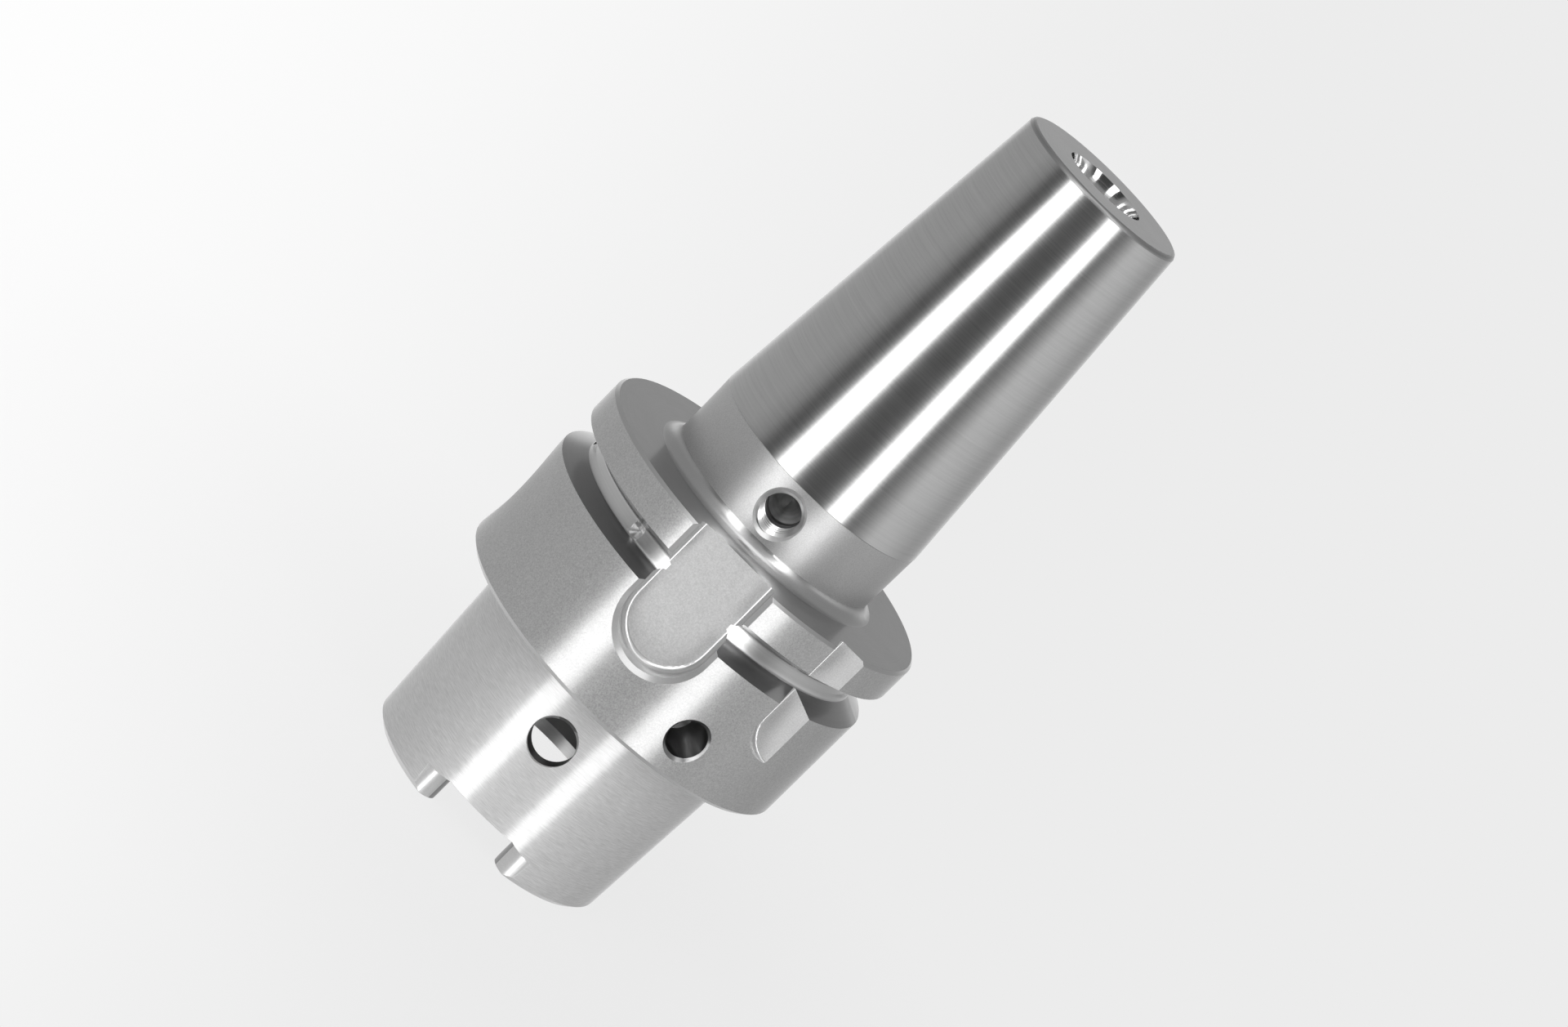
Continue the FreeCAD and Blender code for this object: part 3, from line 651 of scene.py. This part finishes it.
def screw_rows():
    """Rows of the screw's skin: up its thread, over its top, down its bore and round its foot."""
    count = round((SCREW_TOP - SCREW_BOTTOM) / SCREW_PITCH * ROWS_PER_TURN)
    rows = []
    for index in range(count + 1):
        height = SCREW_BOTTOM + (SCREW_TOP - SCREW_BOTTOM) * index / count
        rows.append((lambda angle, z=height: screw_thread_radius(angle, z), height))
    mouth = SOCKET_WIDTH / math.sqrt(3) + SOCKET_FLARE
    for end, inward in ((SCREW_TOP, -1), (SCREW_BOTTOM, 1)):
        socket = [
            (lambda angle: mouth, end),
            (hexagon_radius, end + inward * SOCKET_MOUTH),
            (hexagon_radius, end + inward * SOCKET_DEPTH),
            (lambda angle: PASSAGE_RADIUS, end + inward * SOCKET_DEPTH),
        ]
        rows += socket if inward < 0 else reversed(socket)
    return rows


def make_stop_screw():
    rows = screw_rows()
    points = []
    for radius_at, height in rows:
        for side in range(SCREW_SIDES):
            angle = 2 * math.pi * side / SCREW_SIDES
            radius = radius_at(angle)
            points.append((radius * math.cos(angle), radius * math.sin(angle), height))
    faces = []
    for row in range(len(rows)):
        lower, upper = row * SCREW_SIDES, (row + 1) % len(rows) * SCREW_SIDES
        for side in range(SCREW_SIDES):
            beside = (side + 1) % SCREW_SIDES
            faces.append((lower + side, lower + beside, upper + beside, upper + side))
    black = metal("black_oxide", 0.12, 0.28, 0.46, grain=(0.15, 0.002), tone_change=0.15)
    plain_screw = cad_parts["length_stop_screw"].data
    plain_screw.materials.clear()
    plain_screw.materials.append(black)
    screw = mesh_piece("threaded_stop_screw", points, faces, black, "stop_screw")
    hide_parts("length_stop_screw")


# Studio. Azimuths turn from -Y towards +X, in degrees.

STRIP_DISTANCE = 1.3
STRIP_HEIGHT = 3.6
STRIP_LEVEL = 3.0
OVERHEAD_PLACE = (0.0, -0.42, 1.45)
OVERHEAD_SIZE = (1.1, 0.7)
OVERHEAD_LAMP_LEVEL = 1.3
STRIPS = {"left_strip": (-23.7, 19.5), "right_strip": (36.6, 16.5)}
LEVEL_STOPS = [
    (-180, 0.95), (-162, 0.72), (-144, 0.40), (-80, 0.41), (-62, 0.30), (-50, 0.03), (46, 0.03),
    (56, 0.14), (66, 0.42), (78, 0.78), (98, 0.70), (128, 0.44), (146, 0.44), (162, 0.64),
    (180, 0.95),
]
LOWER_STOPS = [
    (-180, 0.95), (-150, 0.66), (-80, 0.56), (-60, 0.46), (-46, 0.12), (46, 0.12), (66, 0.24),
    (80, 0.46), (128, 0.42), (146, 0.46), (162, 0.64), (180, 0.95),
]
LOWER_RANGE = (-0.12, -0.32)
OVERHEAD_LEVEL = 0.34
OVERHEAD_RANGE = (0.12, 0.23)
FLOOR_REACH = 0.11
FLOOR_TONE = 0.86
FLOOR_SHARE = 0.05
FLOOR_FADE = (0.4, 0.98)
FLOOR_SIDES = 96
BACKDROP_BRIGHT = 0.985
BACKDROP_DIM = 0.839
BACKDROP_REACH = 0.9
BACKDROP_RANGE = (0.97, 0.985)


def soft_box(name, size, level, place, rotation):
    data = bpy.data.lights.new(name, "AREA")
    data.shape = "RECTANGLE"
    data.size, data.size_y = size
    data.energy = level * math.pi * data.size * data.size_y
    lamp = bpy.data.objects.new(name, data)
    bpy.context.scene.collection.objects.link(lamp)
    lamp.location = place
    lamp.rotation_euler = rotation
    lamp.visible_camera = False


def strip_lamp(name, azimuth, width_deg):
    """A tall soft box. width_deg is its width seen from the object."""
    width = 2 * STRIP_DISTANCE * math.tan(math.radians(width_deg / 2))
    turn = math.radians(azimuth)
    place = (STRIP_DISTANCE * math.sin(turn), -STRIP_DISTANCE * math.cos(turn), 0.0)
    soft_box(name, (width, STRIP_HEIGHT), STRIP_LEVEL, place, (math.radians(90), 0.0, turn))


def overhead_lamp():
    """A soft box above the object and a little in front of it."""
    tilt = math.atan2(-OVERHEAD_PLACE[1], OVERHEAD_PLACE[2])
    soft_box("overhead_box", OVERHEAD_SIZE, OVERHEAD_LAMP_LEVEL, OVERHEAD_PLACE, (tilt, 0.0, 0.0))


def azimuth_ramp(tree, share, stops):
    ramp = add(tree, "ShaderNodeValToRGB", {"Fac": share})
    elements = ramp.color_ramp.elements
    elements.remove(elements[-1])
    for index, (azimuth, level) in enumerate(stops):
        position = (azimuth + 180) / 360
        element = elements[0] if index == 0 else elements.new(position)
        element.position = position
        element.color = (level, level, level, 1.0)
    return ramp.outputs["Color"]


def blend(tree, share, first, second):
    return add(tree, "ShaderNodeMix", {0: share, 6: first, 7: second}, data_type="RGBA").outputs[2]


def surround(tree, split):
    """Brightness of the studio's walls by azimuth, at eye level and lower down, and its ceiling."""
    front = math_node(tree, "MULTIPLY", split.outputs["Y"], -1.0)
    turn = math_node(tree, "ARCTAN2", split.outputs["X"], front)
    share = remap(tree, turn, -math.pi, math.pi, 0.0, 1.0)
    lower = remap(tree, split.outputs["Z"], *LOWER_RANGE, 0.0, 1.0)
    walls = blend(tree, lower, azimuth_ramp(tree, share, LEVEL_STOPS),
                  azimuth_ramp(tree, share, LOWER_STOPS))
    overhead = remap(tree, split.outputs["Z"], *OVERHEAD_RANGE, 0.0, 1.0)
    return blend(tree, overhead, walls, (OVERHEAD_LEVEL, OVERHEAD_LEVEL, OVERHEAD_LEVEL, 1.0))


def make_world(backdrop_fall, backdrop_offset, ahead):
    """The studio, and a backdrop that dims slowly along a fixed direction.

    The camera sees only the backdrop. The steel mirrors it close round the direction ahead, and the
    studio elsewhere.
    """
    world = bpy.data.worlds.new("studio")
    bpy.context.scene.world = world
    world.use_nodes = True
    tree = world.node_tree
    tree.nodes.clear()
    direction = add(tree, "ShaderNodeTexCoord").outputs["Generated"]
    split = add(tree, "ShaderNodeSeparateXYZ", {"Vector": direction})
    lit = add(tree, "ShaderNodeBackground", {"Color": surround(tree, split)})
    along = vector_node(tree, "DOT_PRODUCT", direction, backdrop_fall, output="Value")
    place = math_node(tree, "ADD", along, backdrop_offset)
    level = remap(tree, place, 0.0, BACKDROP_REACH, BACKDROP_BRIGHT, BACKDROP_DIM, smooth=True)
    seen = add(tree, "ShaderNodeBackground", {"Color": level})
    path = add(tree, "ShaderNodeLightPath").outputs
    mirrored = math_node(tree, "MAXIMUM", path["Is Glossy Ray"], path["Is Transmission Ray"])
    facing = vector_node(tree, "DOT_PRODUCT", direction, ahead, output="Value")
    behind = remap(tree, facing, *BACKDROP_RANGE, 0.0, 1.0)
    mirrored_behind = math_node(tree, "MULTIPLY", mirrored, behind)
    share = math_node(tree, "MAXIMUM", path["Is Camera Ray"], mirrored_behind)
    mixed = add(tree, "ShaderNodeMixShader", {0: share, 1: lit.outputs[0], 2: seen.outputs[0]})
    add(tree, "ShaderNodeOutputWorld", {"Surface": mixed.outputs[0]})


def make_floor():
    """A pale round table top under the shank's end, which fades into the backdrop.

    It is nearly clear, so it takes only a faint shadow.
    """
    turns = [2 * math.pi * index / FLOOR_SIDES for index in range(FLOOR_SIDES)]
    rim = [(FLOOR_REACH * math.cos(turn), FLOOR_REACH * math.sin(turn), SHANK_END * MM)
           for turn in turns]
    mesh = bpy.data.meshes.new("floor")
    mesh.from_pydata(rim, [], [list(range(FLOOR_SIDES))])
    floor = bpy.data.objects.new("floor", mesh)
    bpy.context.scene.collection.objects.link(floor)
    material = bpy.data.materials.new("pale_floor")
    material.use_nodes = True
    tree = material.node_tree
    tree.nodes.clear()
    _, (x, y, _) = axes(tree)
    fade_start, fade_end = (FLOOR_REACH * share for share in FLOOR_FADE)
    inside = remap(tree, flat_length(tree, x, y), fade_start, fade_end, 1.0, 0.0)
    colour = (FLOOR_TONE, FLOOR_TONE, FLOOR_TONE, 1.0)
    diffuse = add(tree, "ShaderNodeBsdfDiffuse", {"Color": colour})
    clear = add(tree, "ShaderNodeBsdfTransparent")
    solid = math_node(tree, "MULTIPLY", inside, FLOOR_SHARE)
    mixed = add(tree, "ShaderNodeMixShader", {0: solid, 1: clear.outputs[0], 2: diffuse.outputs[0]})
    add(tree, "ShaderNodeOutputMaterial", {"Surface": mixed.outputs[0]})
    mesh.materials.append(material)


# Camera. The object's axis runs up and to the right in the picture and leans towards the viewer.

IMAGE_WIDTH = 1920
IMAGE_HEIGHT = 1257
FOCAL_PIXELS = 6950.99
SENSOR_WIDTH = 36.0
ORIGIN_RIGHT = -19.99
ORIGIN_DOWN = 19.04
ORIGIN_AHEAD = 700.715
AXIS_LEAN = math.radians(13.706)
AXIS_RISE = math.radians(44.86)
OBJECT_TURN = math.radians(1.25)
BACKDROP_DOWN_SHARE = 0.55


def seen_axes():
    """Directions to the picture's right, down and ahead, in the object's own frame."""
    lean_cos, lean_sin = math.cos(AXIS_LEAN), math.sin(AXIS_LEAN)
    rise_cos, rise_sin = math.cos(AXIS_RISE), math.sin(AXIS_RISE)
    across = Vector((rise_sin, rise_cos, 0.0))
    along = Vector((rise_cos * lean_cos, -rise_sin * lean_cos, -lean_sin))
    away = along.cross(across)
    return Matrix((across, away, along)).transposed() @ Matrix.Rotation(OBJECT_TURN, 3, "Z")


def make_camera(seen):
    """Places the camera from where the object's origin and axes lie in its view."""
    right, down, ahead = (seen[row].copy() for row in range(3))
    origin = Vector((ORIGIN_RIGHT, ORIGIN_DOWN, ORIGIN_AHEAD)) * MM
    data = bpy.data.cameras.new("camera")
    data.sensor_width = SENSOR_WIDTH
    data.lens = FOCAL_PIXELS / IMAGE_WIDTH * SENSOR_WIDTH
    data.clip_start = 0.05
    camera = bpy.data.objects.new("camera", data)
    bpy.context.scene.collection.objects.link(camera)
    facing = Matrix((right, -down, -ahead)).transposed()
    camera.matrix_world = Matrix.Translation(-(seen.transposed() @ origin)) @ facing.to_4x4()
    bpy.context.scene.camera = camera


def make_backdrop(seen):
    """The backdrop runs from white at the picture's top left to pale grey at its lower right."""
    right, down, ahead = (seen[row].copy() for row in range(3))
    fall = right * (FOCAL_PIXELS / IMAGE_WIDTH)
    fall += down * (BACKDROP_DOWN_SHARE * FOCAL_PIXELS / IMAGE_HEIGHT)
    make_world(fall, 0.5 + BACKDROP_DOWN_SHARE / 2, ahead)


bpy.context.scene.view_settings.view_transform = "Standard"
dress_chuck(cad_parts["chuck_body"])
make_threads()
make_stop_screw()
make_floor()
for lamp_name, (lamp_azimuth, lamp_width) in STRIPS.items():
    strip_lamp(lamp_name, lamp_azimuth, lamp_width)
overhead_lamp()
object_axes = seen_axes()
make_camera(object_axes)
make_backdrop(object_axes)
